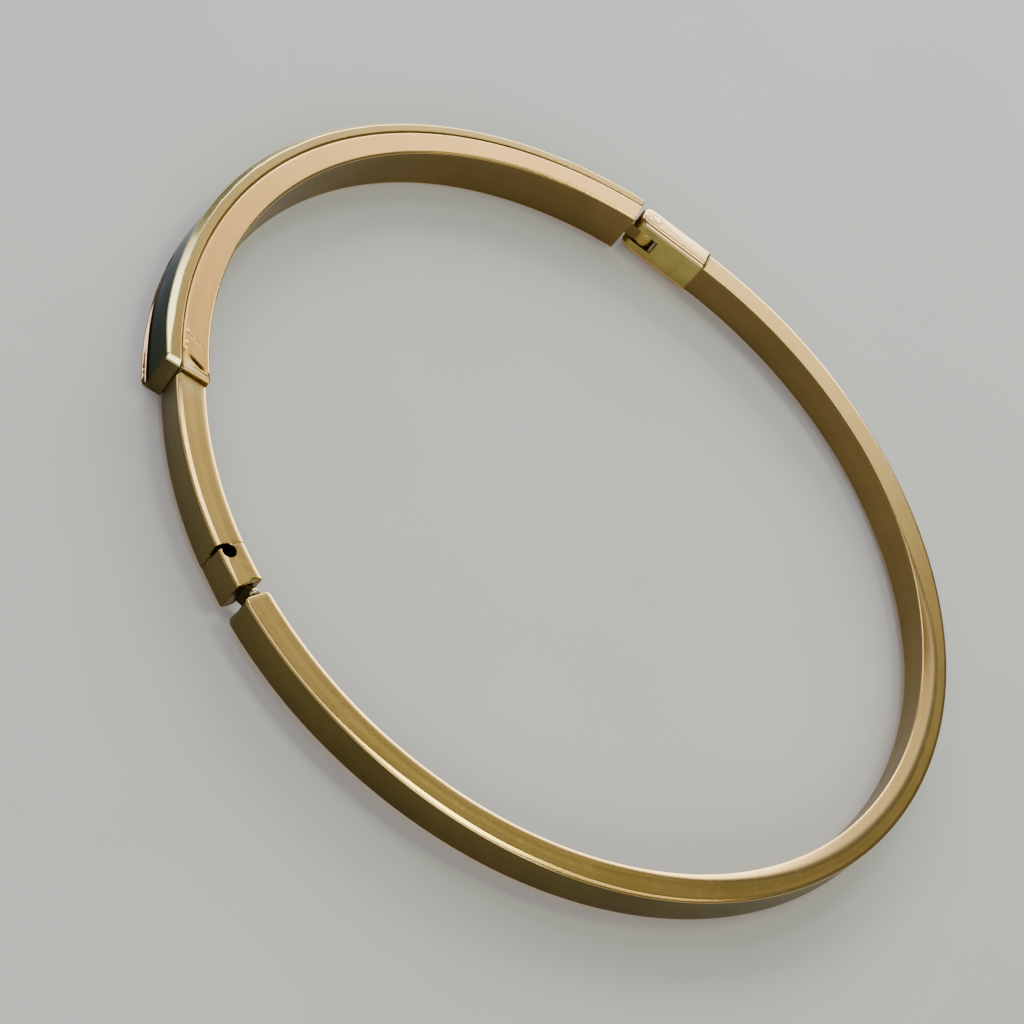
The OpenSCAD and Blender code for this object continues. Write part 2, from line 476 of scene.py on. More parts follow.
def distance_to_line(x, y, start, end):
    line = Vector(end) - Vector(start)
    reach = Vector((x, y)) - Vector(start)
    share = max(0.0, min(1.0, reach.dot(line) / line.length_squared))
    return (reach - line * share).length


def past_lip(x, back):
    """How far a point lies past the line where the inner layer's lip begins to slope."""
    return (x * math.tan(LIP_TURN) - back) * math.cos(LIP_TURN)


def cut_share(line, x, distance):
    """Share of its depth that a cut has across the arch at x and at a distance from its line."""
    rise = smooth(line["from_x"], line["from_x"] + line["fade"], x)
    fall = smooth(line["to_x"], line["to_x"] - line["fade"], x)
    return rise * fall * groove(distance, line["width"])


def lip_cuts(x, back):
    """Shares of their depths that the saw cut, the fine cut and the scratches have at a place on the lip."""
    saw = cut_share(SAW_CUT, x, past_lip(x, back) - SAW_CUT["width"] / 2)
    fine = cut_share(FINE_CUT, x, x * FINE_LEAD - FINE_OFFSET - back)
    scratch = max(groove(distance_to_line(x, back, start, end), SCRATCH["width"]) for start, end in SCRATCHES)
    return saw, fine, scratch


def arch_lip(r, angle, z):
    """Shapes the inner layer's sloped lip with its saw cut, burrs and scratches, above and plainly below."""
    x, back = r - ARCH_R, back_from_end(r, angle)
    if back > LIP_REACH:
        return hand_filed_arch(r, angle, z)
    slope = LIP_SLOPE * max(0.0, past_lip(x, back))
    if z < ARCH_W / 2:
        return r, angle, z + slope * smooth(ARCH_W / 2, LIP_SKIN, z)
    high = smooth(ARCH_W / 2, ARCH_W - LIP_SKIN, z)
    saw, fine, scratch = lip_cuts(x, back)
    drop = slope + SAW_CUT["depth"] * saw
    drop += FINE_CUT["depth"] * fine + SCRATCH["depth"] * scratch
    for burr_x, burr_back in BURRS:
        drop -= BURR["height"] * math.exp(-((x - burr_x) ** 2 + (back - burr_back) ** 2) / BURR["spread"])
    return r, angle, z - drop * high


def hand_filed_arch(r, angle, z):
    return r + ARCH_WANDER * slow_wave(angle, seed=12.0), angle, z


LAYER_FINISHES = [ARCH_FLAT, ARCH_FLAT, OUTER, ARCH_FLAT, ARCH_FLAT, BEVEL, ARCH_INNER, BEVEL]


def arch_layer_outline(share, inset):
    rim, inner = 0.13, 0.14
    corners = band_corners(ARCH_R, LAYER_R, 0.0, ARCH_W, rim, 0.09, inner, 0.07)
    return rounded_outline(corners, [0.3, 0.15, 0.12, 0.12, 0.2, 0.3, 0.1, 0.1],
                           [5, 1, 2, 1, 40, 2, 3, 2], LAYER_FINISHES, inset)


def short_of_end(r, angle):
    """Distance along the arch back from its slanted clasp end."""
    return (slanted_end_at(r) - angle) * r


def place_on_arch(point):
    """A mesh point's radius and angle about the arch's centre, and its height."""
    x, y, z = millimetres(point)
    return math.hypot(x, y - ARCH[1]), math.atan2(y - ARCH[1], x) + 2 * math.pi, z


# Painted shade lies over wear and painted highlight, and a scratch gets less of it than a cut
PAINTED_SHADE_WEIGHT = 2
SCRATCH_SHADE = 0.7


def mark_top(piece, lowest_z, mark):
    """Marks wear, painted highlight and painted shade near a piece's top; mark gives the edge value at (r,
    angle) from the old one.
    """
    for vertex, edge in edges_of(piece):
        r, angle, z = place_on_arch(vertex.co)
        if z > lowest_z:
            edge.value = mark(r, angle, edge.value)
    return piece


def lip_marks(r, angle, edge):
    """Painted highlight past the lip's saw cut, and painted shade in its cuts and scratches."""
    x, back = r - ARCH_R, back_from_end(r, angle)
    if back >= LIP_REACH:
        return edge
    # The lip past the saw cut is painted pale as a highlight.
    worn = max(edge, smooth(SAW_CUT["width"], SAW_CUT["width"] + LIP_HIGHLIGHT_FADE, past_lip(x, back)))
    saw, fine, scratch = lip_cuts(x, back)
    return worn - PAINTED_SHADE_WEIGHT * max(saw, fine, SCRATCH_SHADE * scratch)


def make_arch_layer():
    length = 2 * ARCH_END * (ARCH_R + LAYER_T / 2)
    rows = rows_along(length, ROW_SPACING, 0.06, 0.12, fine_to=4.0, fine_spacing=0.04)
    piece = sweep("arch_and_front_band", ARCH, hinge_plane_at, slanted_end_at, rows,
                  arch_layer_outline, arch_lip)
    return mark_top(piece, ARCH_W - 0.9, lip_marks)


BAND_START = 270 + ARCH_HALF - 0.35

# Distances past the arch between which the plain stretch's painted highlight and its painted shadow fade out
HIGHLIGHT_FADES = (2.2, 0.8)
SHADOW_FADES = (0.42, 0.16)


def stretch_marks(r, angle, edge):
    """Painted shadow where the plain stretch meets the arch, and a painted highlight on the band's top beside
    it.
    """
    past_arch = -short_of_end(r, angle)
    return max(edge, smooth(*HIGHLIGHT_FADES, past_arch)) - PAINTED_SHADE_WEIGHT * smooth(*SHADOW_FADES, past_arch)


def make_plain_stretch():
    """The stretch from the clasp's seam into the arch."""
    start, end = SEAM_AT, BAND_START - 360
    length = math.radians(start - end) * MID_R
    rows = rows_along(length, ROW_SPACING, SEAM_ROUND, 0.1, fine_to=2.4, fine_spacing=0.08)

    def end_at(r):
        return math.radians(end) + rounded_back(r, (0.4, 0.6), (0.35, 0.4))

    piece = sweep("plain_stretch", RING, constant(start), end_at, rows, band_outline(start, end), hand_filed)
    return mark_top(piece, BAND_TOP - 0.3, stretch_marks)


def make_bar(name, centre, start, end, r0, r1, low, high, round_r=0.05, finishes=(CUT,) * 4):
    """A plain bent bar, angles in degrees, with the finishes of its lower, outer, upper and inner side."""
    def outline(share, inset):
        corners = box_corners(r0, r1, low, high)
        return rounded_outline(corners, [round_r] * 4, [1] * 4, finishes, inset, arc_steps=3)
    length = math.radians(end - start) * (r0 + r1) / 2
    return sweep(name, centre, constant(start), constant(end), rows_along(length, 0.2, round_r), outline)


# Upright pieces and cutting tools


def block_place(x, y):
    """A point of the straight hinge block's own plan, x along it towards the arch and y inward."""
    root = math.radians(BLOCK_AT)
    forward = root + math.pi / 2
    return (MID_R * math.cos(root) + x * math.cos(forward) - y * math.cos(root),
            MID_R * math.sin(root) + x * math.sin(forward) - y * math.sin(root))


def ring_place(degrees):
    """Turns a point given along the radius and along the ring at an angle into the ring's plan."""
    turn = math.radians(degrees)

    def place(x, y):
        return x * math.cos(turn) - y * math.sin(turn), x * math.sin(turn) + y * math.cos(turn)
    return place


def on_ring(r, degrees):
    """The plan's point at a radius and an angle."""
    return r * math.cos(math.radians(degrees)), r * math.sin(math.radians(degrees))


def from_pin(point):
    """Distance of the plan's point from the hinge pin, and its direction in degrees."""
    x, y = point[0] - PIN[0], point[1] - PIN[1]
    return math.hypot(x, y), math.degrees(math.atan2(y, x))


def box_corners(x0, x1, y0, y1):
    """Corners of an upright rectangle, counter-clockwise."""
    return [(x0, y0), (x1, y0), (x1, y1), (x0, y1)]


def stacked(name, levels, ring_at, finish, wall_finish):
    """A closed upright piece from levels (z, inset); ring_at gives the plan's points at an inset."""
    tallest = max(after[0] - before[0] for before, after in zip(levels, levels[1:]))
    mesh = bmesh.new()
    mesh.verts.layers.float.new("edge")
    rings = [[mesh.verts.new((x * MM, y * MM, z * MM)) for x, y in ring_at(inset)] for z, inset in levels]
    for level, (ring, following) in enumerate(zip(rings, rings[1:])):
        wall = wall_finish is not None and levels[level + 1][0] - levels[level][0] == tallest
        for index in range(len(ring)):
            after = (index + 1) % len(ring)
            face = mesh.faces.new((ring[index], ring[after], following[after], following[index]))
            face.material_index = wall_finish if wall else finish
    for ring in (rings[0], rings[-1]):
        mesh.faces.new(ring).material_index = finish
    bmesh.ops.recalc_face_normals(mesh, faces=mesh.faces)
    return finished_object(name, mesh)


def upright(name, corners, radii, levels, place, finish=CUT, wall_finish=None, arc_steps=8):
    """An upright piece over an outline with rounded corners, in the plan that place turns."""
    count = len(corners)

    def ring_at(inset):
        outline = rounded_outline(corners, radii, [2] * count, [finish] * count, inset, arc_steps)
        return [place(*point[:2]) for point in outline]
    return stacked(name, levels, ring_at, finish, wall_finish)


POST_SIDES = 64


def round_post(name, centre, radius, levels, finish=CUT, wall_finish=None):
    """An upright round post about a point of the plan."""
    turns = [2 * math.pi * side / POST_SIDES for side in range(POST_SIDES)]

    def ring_at(inset):
        return [(centre[0] + (radius - inset) * math.cos(turn), centre[1] + (radius - inset) * math.sin(turn))
                for turn in turns]
    return stacked(name, levels, ring_at, finish, wall_finish)


def rounded_levels(low, high, radius, steps=4):
    """Levels of an upright piece whose upper and lower edges are rounded."""
    turns = [math.pi / 2 * step / steps for step in range(steps + 1)]
    rise = [(radius * (1 - math.sin(turn)), radius * (1 - math.cos(turn))) for turn in turns]
    below = [(low + height, inset) for inset, height in rise]
    above = [(high - height, inset) for inset, height in reversed(rise)]
    return below + above


NOTCH_R = RING_R + 1.37
NOTCH_D = 1.0
NOTCH_DEPTH = 1.2
SLOT_W = 0.3
NOTCH_ROUND = 0.1
RIM = 0.05

# The rounding of a plain corner, and how far a cutting tool reaches past what it cuts
CRISP = 0.02
PAST = 1.0


def with_painted_shade(tool):
    """Marks a cutting tool's sides so that what it cuts gets painted shade."""
    for edge in tool.data.attributes["edge"].data:
        edge.value = -1
    return tool


def cut_notch(piece):
    """Cuts the round notch at the seam and its narrow slot to the outside, with a broken edge round them."""
    floor = BAND_TOP - NOTCH_DEPTH
    rim = [(BAND_TOP - RIM, 0.0), (BAND_TOP + RIM, -2 * RIM)]
    levels = [(floor, NOTCH_ROUND), (floor + NOTCH_ROUND, 0.0)] + rim
    tool = round_post("notch_tool", on_ring(NOTCH_R, NOTCH_AT), NOTCH_D / 2, levels, BEVEL, OUTER)
    # The notch and its slot get painted shade on the faces that the tools cut.
    cut(piece, with_painted_shade(tool))
    corners = box_corners(NOTCH_R, OUT_R + PAST, -NOTCH_D / 2, SLOT_W - NOTCH_D / 2)
    levels = [(floor, 0.0)] + rim
    tool = upright("slot_tool", corners, [CRISP] * 4, levels, ring_place(NOTCH_AT), BEVEL, OUTER, 2)
    return cut(piece, with_painted_shade(tool))


KNUCKLE_R = 0.98
EAR_H = 1.05
KNUCKLE_GAP = 0.06
KNUCKLE_LOW = block_low[2] + EAR_H + KNUCKLE_GAP
KNUCKLE_HIGH = block_high[2] - EAR_H - KNUCKLE_GAP
PIN_R = 0.45
RUNNING = 0.04
WEB_T = 0.85
WEB_PAST = 0.8
WEB_IN = 0.02
STUB_IN = 0.3
STUB_TURN = 1.6


def make_front_half():
    """The arch's inner layer with the plain stretch and the knuckle soldered to it."""
    piece = make_arch_layer()
    joined(piece, make_plain_stretch())
    stub = make_bar("stub", RING, BAND_START - STUB_TURN, BAND_START + STUB_TURN,
                    RING_R + STUB_IN, OUT_R - STUB_IN, BAND_LOW + STUB_IN, BAND_TOP - STUB_IN)
    joined(piece, stub)
    levels = rounded_levels(KNUCKLE_LOW, KNUCKLE_HIGH, 0.08)
    joined(piece, round_post("knuckle", PIN, KNUCKLE_R, levels, FLAT))
    corners = box_corners(PIN_X, PIN_X + PIN_BACK + ARCH_GAP + WEB_PAST, 0.0, WEB_T)
    levels = [(KNUCKLE_LOW + WEB_IN, 0.0), (KNUCKLE_HIGH - WEB_IN, 0.0)]
    joined(piece, upright("web", corners, [CRISP] * 4, levels, block_place, INNER))
    bore = round_post("bore", PIN, PIN_R + RUNNING, [(block_low[2], 0.0), (block_high[2], 0.0)])
    cut(piece, bore)
    return cut_notch(piece)


# The cover that lies on the arch


COVER_FINISHES = [FLAT, BEVEL, OUTER, OUTER, BEVEL, FLAT, FLAT, INNER, FLAT]
LEDGE_TOP = 0.3
LEDGE_FOOT = 0.16
LEDGE_W = 0.24
FACE_FOOT = 0.1
FACE_H = ARCH_W - 0.4
COVER_RIM = 0.09
COVER_BEVEL_W = 0.42
COVER_BEVEL_DROP = 0.65
END_TAPER = 0.26
END_BEVEL_W = 0.27
END_BEVEL_SLOPE = math.tan(math.radians(50))


def ledge_at(back):
    """How far the narrow ledge at the foot of the cover's outer face stands out, back from the clasp end."""
    worn = 0.45 + 0.55 * smooth(9.0, 3.0, back)
    last_bit = smooth(11.4, 12.2, back) * (1 - smooth(12.6, 14.0, back))
    return worn * (1 - smooth(9.6, 11.0, back) + 0.4 * last_bit)


def cover_outline(share, inset):
    """Section of the cover, whose polished bevel wavers and runs out towards the clasp end."""
    angle = math.radians(270) + ARCH_END * (2 * share - 1)
    back = (1 - share) * 2 * ARCH_END * ARCH_OUT_R
    near_end = 1 - smooth(0.0, 4.4, back)
    bevel_w = COVER_BEVEL_W + 0.035 * slow_wave(angle, seed=20.0, size=8) - END_TAPER * near_end
    bevel_w *= 1 - 0.75 * smooth(1.5 * END_BEVEL_W, 0.8 * END_BEVEL_W, back)
    top_r = ARCH_OUT_R - COVER_LEAN - 0.1 * near_end
    lean = (ARCH_OUT_R - top_r) / FACE_H
    ledge_r = ARCH_OUT_R - lean * (LEDGE_TOP + FACE_FOOT) - 0.002
    rim_r = COVER_R + COVER_RIM
    corners = [(rim_r, 0.0), (ARCH_OUT_R - FACE_FOOT, 0.0), (ARCH_OUT_R, FACE_FOOT),
               (ledge_r, LEDGE_TOP + FACE_FOOT), (top_r, ARCH_W - COVER_BEVEL_DROP * bevel_w),
               (top_r - bevel_w, ARCH_W), (rim_r, ARCH_W),
               (COVER_R, ARCH_W - COVER_RIM), (COVER_R, COVER_RIM)]
    points = rounded_outline(corners, [0.1, 0.12, 0.06, 0.06, 0.12, 0.15, 0.12, 0.1, 0.1],
                             [4, 1, 16, 8, 3, 6, 1, 3, 1], COVER_FINISHES, inset)
    # Painted highlight: along the ledge the outer face gets an edge value that turns it pale like a lit line.
    ledge_highlight = min(1.0, 2 * ledge_at(back)) * smooth(-0.1, 0.3, back)
    return [(r, z, finish, ledge_highlight if finish == OUTER and 0.08 < z < LEDGE_TOP else edge)
            for r, z, finish, edge in points]


def cover_shape(r, angle, z):
    """Presses the outer face in above a bumpy ledge at its foot."""
    back = back_from_end(ARCH_OUT_R, angle)
    out = ledge_at(back)
    if r > ARCH_OUT_R - 0.32 and out > 0:
        face_r = ARCH_OUT_R - COVER_LEAN * (z - FACE_FOOT) / FACE_H
        above = smooth(LEDGE_FOOT, LEDGE_TOP, z)
        room = max(0.0, face_r - (ARCH_OUT_R - LEDGE_W * out - 0.02))
        r -= above * room * (1 - smooth(2.6, 3.3, z))
        bumps = 0.05 * noise.noise((back * 2.6, 4.0, 7.0)) - 0.12 * smooth(1.1, 0.2, back)
        r += (1 - above) * out * bumps
    drop = END_BEVEL_SLOPE * max(0.0, END_BEVEL_W - short_of_end(r, angle))
    return hand_filed_arch(r, angle, z - drop * smooth(ARCH_W - 1.2, ARCH_W - 0.2, z))


def make_cover():
    """The cover, whose upper edge is bevelled and polished at the clasp end too."""
    length = 2 * ARCH_END * (ARCH_R + LAYER_T + COVER_T / 2)
    rows = rows_along(length, ROW_SPACING, 0.1, 0.07, fine_to=1.6, fine_spacing=0.05)
    piece = sweep("arch_cover", ARCH, hinge_plane_at, slanted_end_at, rows, cover_outline, cover_shape)
    for face in piece.data.polygons:
        r, angle, z = place_on_arch(face.center)
        if face.material_index == FLAT and z > ARCH_W / 2 and short_of_end(r, angle) < END_BEVEL_W:
            face.material_index = BEVEL
    return piece


# The clasp


# The tongue is bent round the hinge pin and soldered into the rear band by its root
TONGUE_L = 1.7
TONGUE_T = 0.45
TONGUE_H = 1.8
TONGUE_PLAY = 0.1
TONGUE_REACH, TONGUE_DIR = from_pin(on_ring(RING_R + 0.5, REAR_END))
TONGUE_TURN = math.degrees(TONGUE_L / TONGUE_REACH)
TONGUE_LOW = BAND_LOW + (BAND_TOP - BAND_LOW - TONGUE_H) / 2
TONGUE_TOP = TONGUE_LOW + TONGUE_H
ROOT_IN = 0.2
ROOT_T = 1.0

# The nib on the tongue, and the degrees that the box and its nib room leave for the closing turn
NIB_PLACE = on_ring(RING_R + 0.8, -7.05)
NIB_REACH, NIB_DIR = from_pin(NIB_PLACE)
NIB_D = 0.5
NIB_PROUD = 0.2
NIB_SUNK = 0.3
NIB_PLAY = 0.06
BOX_TRAVEL = 0.9
CLOSING_TURN = 0.75


def tongue_bar(name, behind, ahead, play, round_r, finishes=(CUT,) * 4):
    """A bar bent round the hinge pin, from behind the tongue's root to ahead of it, in degrees."""
    return make_bar(name, PIN, TONGUE_DIR - ahead, TONGUE_DIR + behind,
                    TONGUE_REACH - TONGUE_T / 2 - play, TONGUE_REACH + TONGUE_T / 2 + play,
                    TONGUE_LOW - play, TONGUE_TOP + play, round_r, finishes)


def nib_room():
    """The hollow in the box's mouth that the tongue's nib enters as the clasp closes."""
    half = NIB_D / 2 + NIB_PLAY
    deepest = NIB_DIR - CLOSING_TURN - math.degrees(half / NIB_REACH)
    return make_bar("nib_room", PIN, deepest, NIB_DIR, NIB_REACH - half, NIB_REACH + half,
                    TONGUE_TOP - NIB_SUNK - NIB_PLAY, TONGUE_TOP + NIB_PROUD + NIB_PLAY)


def make_clasp_box():
    start = SEAM_AT + math.degrees(SEAM_GAP / RING_R)
    length = math.radians(BOX_END - start) * MID_R
    rows = rows_along(length, ROW_SPACING / 2, SEAM_ROUND, 0.1)

    def end_at(r):
        scoop = 0.28 * math.exp(-((r - RING_R - 0.55) / 0.33) ** 2)
        return math.radians(BOX_END) - scoop / MID_R

    piece = sweep("clasp_case", RING, constant(start), end_at, rows,
                  band_outline(start, BOX_END, recess=0.06), hand_filed)
    room = tongue_bar("tongue_room", -0.1, TONGUE_TURN + BOX_TRAVEL, TONGUE_PLAY, 0.04)
    cut(piece, room)
    # The nib's hollow gets painted shade on its cut faces.
    cut(piece, with_painted_shade(nib_room()))
    return cut_notch(piece)


def make_tongue():
    piece = tongue_bar("spring_tongue", 0.1, TONGUE_TURN, 0.0, 0.14, [OUTER] * 4)
    root = make_bar("tongue_root", RING, REAR_END + 0.1, REAR_END + 2.3, RING_R + ROOT_IN + GROOVE_W,
                    RING_R + ROOT_IN + ROOT_T - GROOVE_W, TONGUE_LOW + 0.02, TONGUE_TOP - 0.02)
    joined(piece, root)
    levels = rounded_levels(TONGUE_TOP - NIB_SUNK, TONGUE_TOP + NIB_PROUD, 0.16)
    return joined(piece, round_post("nib", NIB_PLACE, NIB_D / 2, levels, FLAT))


def cut_tongue_root(piece):
    tool = make_bar("root_tool", RING, REAR_END - PAST, REAR_END + 2.4, RING_R + ROOT_IN,
                    RING_R + ROOT_IN + ROOT_T, TONGUE_LOW - GROOVE_W, TONGUE_TOP + GROOVE_W, CRISP)
    return cut(piece, tool)


# The hinge


BLOCK_SUNK = 0.3
SLOT_BACK = 1.15
PIN_SHORT = 0.01
PIN_FIT = 0.4 * GROOVE_W


def make_hinge_block():
    """The straight end block with its rounded corners and the slot between its two ears."""
    corners = box_corners(-BLOCK_SUNK, BLOCK_L, -BAND_T / 2, BAND_T / 2)
    levels = rounded_levels(block_low[2], block_high[2], 0.42, steps=8)
    piece = upright("hinge_block_body", corners, [0.4, 0.8, 0.8, 0.4], levels, block_place, FLAT, OUTER, 10)
    corners = box_corners(PIN_X - SLOT_BACK, BLOCK_L + PAST, -BAND_T, BAND_T)
    levels = [(block_low[2] + EAR_H, 0.0), (block_high[2] - EAR_H, 0.0)]
    slot = upright("hinge_slot", corners, [CRISP] * 4, levels, block_place, arc_steps=2)
    cut(piece, slot)
    levels = [(-PAST / 2, 0.0), (ARCH_W + PAST / 2, 0.0)]
    return cut(piece, round_post("pin_bore", PIN, PIN_R + PIN_FIT, levels))


def make_pin():
    levels = rounded_levels(block_low[2] + PIN_SHORT, block_high[2] - PIN_SHORT, 0.06)
    return round_post("hinge_rivet", PIN, PIN_R, levels, FLAT)


# Shader building


def add(tree, kind, inputs=None, **settings):
    """Adds a shader node. inputs maps a socket's name or number to a value or to the socket that feeds it."""
    made = tree.nodes.new("ShaderNode" + kind)
    for key, value in settings.items():
        setattr(made, key, value)
    for key, value in (inputs or {}).items():
        if isinstance(value, bpy.types.NodeSocket):
            tree.links.new(value, made.inputs[key])
        else:
            made.inputs[key].default_value = value
    return made


def maths(tree, operation, *values, clamp=False):
    return add(tree, "Math", dict(enumerate(values)), operation=operation, use_clamp=clamp).outputs[0]


def times(tree, first, second):
    return maths(tree, "MULTIPLY", first, second)


def spread(tree, value, low, high, to_low=0.0, to_high=1.0):
    """Maps a range of a value onto another, held at its ends."""
    inputs = {"Value": value, "From Min": low, "From Max": high, "To Min": to_low, "To Max": to_high}
    return add(tree, "MapRange", inputs, clamp=True).outputs[0]


# The Mix node's sockets for two colours and for what comes out
MIX_A, MIX_B, MIX_OUT = 6, 7, 2


def mixed(tree, share, first, second):
    """A colour between two others."""
    first, second = ((*value, 1.0) if isinstance(value, tuple) else value for value in (first, second))
    inputs = {"Factor": share, MIX_A: first, MIX_B: second}
    return add(tree, "Mix", inputs, data_type="RGBA").outputs[MIX_OUT]


def noise_value(tree, vector, scale=1.0, detail=3.0, roughness=0.5):
    inputs = {"Vector": vector, "Scale": scale, "Detail": detail, "Roughness": roughness}
    return add(tree, "TexNoise", inputs).outputs[0]


def turned_about_z(tree, vector, angle):
    inputs = {"Vector": vector, "Angle": angle}
    return add(tree, "VectorRotate", inputs, rotation_type="Z_AXIS").outputs[0]


def in_steps_of(tree, size):
    """The object's own place, counted in steps of a size in millimetres."""
    here = add(tree, "TexCoord").outputs["Object"]
    scale = maths(tree, "DIVIDE", 1 / MM, size)
    return add(tree, "VectorMath", {0: here, "Scale": scale}, operation="SCALE").outputs[0]


def new_group(name, inputs):
    """A shader node group of plain numbers, whose inputs map names to usual values."""
    tree = bpy.data.node_groups.new(name, "ShaderNodeTree")
    for label, value in inputs.items():
        socket = tree.interface.new_socket(name=label, in_out="INPUT", socket_type="NodeSocketFloat")
        socket.default_value = value
    return tree, tree.nodes.new("NodeGroupInput").outputs


def giving(tree, **outputs):
    """Ends a group with its outputs, each fed by a socket."""
    for label in outputs:
        tree.interface.new_socket(name=label, in_out="OUTPUT", socket_type="NodeSocketFloat")
    result = tree.nodes.new("NodeGroupOutput").inputs
    for label, value in outputs.items():
        tree.links.new(value, result[label])
    return tree


# Turn in degrees that brings the start of the count along the band into the clasp's gap
GAP_TURN = 187


def place_on_band_group():
    """Distance along the band, from its axis and up, in millimetres, starting anew in the clasp's gap."""
    tree, given = new_group("Place on the band", {"Centre Y": 0.0})
    centre = add(tree, "CombineXYZ", {"Y": given["Centre Y"]}).outputs[0]
    moved = add(tree, "VectorMath", {0: in_steps_of(tree, 1.0), 1: centre}, operation="SUBTRACT").outputs[0]
    parts = add(tree, "SeparateXYZ", {0: turned_about_z(tree, moved, math.radians(GAP_TURN))}).outputs
    angle = maths(tree, "ARCTAN2", parts["Y"], parts["X"])
    flat = add(tree, "CombineXYZ", {"X": parts["X"], "Y": parts["Y"]}).outputs[0]
    radius = add(tree, "VectorMath", {0: flat}, operation="LENGTH").outputs["Value"]
    return giving(tree, Along=times(tree, angle, MID_R), Radius=radius, Height=parts["Z"])


def drawn_grain_group():
    """Fine streaks along the band, as a height and as a tone."""
    inputs = {"Along": 0.0, "Radius": 0.0, "Height": 0.0, "Streak Length": 3.0, "Streak Width": 0.06}
    tree, given = new_group("Drawn grain", inputs)
    vector = add(tree, "CombineXYZ", {
        "X": maths(tree, "DIVIDE", given["Along"], given["Streak Length"]),
        "Y": maths(tree, "DIVIDE", given["Radius"], given["Streak Width"]),
        "Z": maths(tree, "DIVIDE", given["Height"], given["Streak Width"])}).outputs[0]
    return giving(tree, Relief=noise_value(tree, vector, roughness=0.6),
                  Tone=spread(tree, noise_value(tree, vector, 0.22, 2.0), 0.3, 0.7))


def cloudy_tone_group():
    """Soft blotches of tone, as fingers and air leave them."""
    tree, given = new_group("Cloudy tone", {"Blotch Size": 4.0, "Seed": 0.0})
    vector = in_steps_of(tree, given["Blotch Size"])
    shifted = add(tree, "VectorMath", {0: vector, 1: given["Seed"]}, operation="ADD").outputs[0]
    cloud = noise_value(tree, shifted, 1.0, 4.0, 0.55)
    fleck = noise_value(tree, shifted, 7.0, 3.0, 0.6)
    return giving(tree, Cloud=spread(tree, cloud, 0.35, 0.68), Fleck=spread(tree, fleck, 0.56, 0.74))


def hairlines_group():
    """Thin stray scratches in two directions."""
    tree, given = new_group("Hairlines", {"Spacing": 0.8, "Fineness": 0.012})
    vector = in_steps_of(tree, given["Spacing"])
    lines = []
    for turn, seed in ((0.5, 3.0), (-0.9, 11.0)):
        turned = turned_about_z(tree, vector, turn)
        stretched = add(tree, "Mapping", {"Vector": turned, "Location": (seed, seed, seed),
                                          "Scale": (0.05, 1.0, 1.0)}).outputs[0]
        value = noise_value(tree, stretched, detail=1.0)
        away = maths(tree, "ABSOLUTE", maths(tree, "SUBTRACT", value, 0.5))
        lines.append(maths(tree, "LESS_THAN", away, given["Fineness"]))
    return giving(tree, Line=maths(tree, "MAXIMUM", *lines))


def dust_group():
    """Pale specks of dust, few and small."""
    tree, given = new_group("Dust", {"Spacing": 0.9, "Size": 0.09, "Share": 0.3})
    cells = add(tree, "TexVoronoi", {"Vector": in_steps_of(tree, given["Spacing"]), "Scale": 1.0})
    near = maths(tree, "LESS_THAN", cells.outputs["Distance"], given["Size"])
    pick = add(tree, "SeparateColor", {0: cells.outputs["Color"]}).outputs[0]
    picked = maths(tree, "LESS_THAN", pick, given["Share"])
    return giving(tree, Speck=times(tree, near, picked))


def wear_and_painted_light_group():
    """Where rubbing has brightened the edges that the maker rounded, partly a painted highlight, and where
    painted shade darkens cuts and joins.
    """
    tree, given = new_group("Wear and painted light", {"Breakup": 1.5})
    edge = add(tree, "Attribute", attribute_name="edge").outputs["Fac"]
    rough = spread(tree, noise_value(tree, in_steps_of(tree, given["Breakup"])), 0.25, 0.7, 0.4, 1.0)
    worn = maths(tree, "MAXIMUM", edge, 0.0)
    painted_shade_mask = maths(tree, "MULTIPLY", edge, -1.0, clamp=True)
    return giving(tree, Wear=times(tree, worn, rough), Soil=painted_shade_mask)


GROUPS = {
    "place": place_on_band_group(), "grain": drawn_grain_group(), "cloud": cloudy_tone_group(),
    "hairlines": hairlines_group(), "dust": dust_group(), "worn": wear_and_painted_light_group(),
}


def use(tree, key, inputs=None):
    """Places one of the shared effects in a material."""
    return add(tree, "Group", inputs, node_tree=GROUPS[key]).outputs


# The first colour below is painted shade for cuts, scratches and joins; the wear share also carries painted
# highlights.
PAINTED_SHADE_COLOUR = (0.045, 0.035, 0.015)
DUST = (0.3, 0.29, 0.26)
CLOUD_SHARE = 0.5
GRAIN_SHARE = 0.22
WEAR_AND_HIGHLIGHT_SHARE = 0.7
PAINTED_SHADE_SHARE = 0.9
RELIEF_DEPTH = 0.004


def new_finish(name):
    """A new material with its node tree and its shader's inputs."""
    material = bpy.data.materials.new(name)
    material.use_nodes = True
    return material, material.node_tree, material.node_tree.nodes["Principled BSDF"].inputs


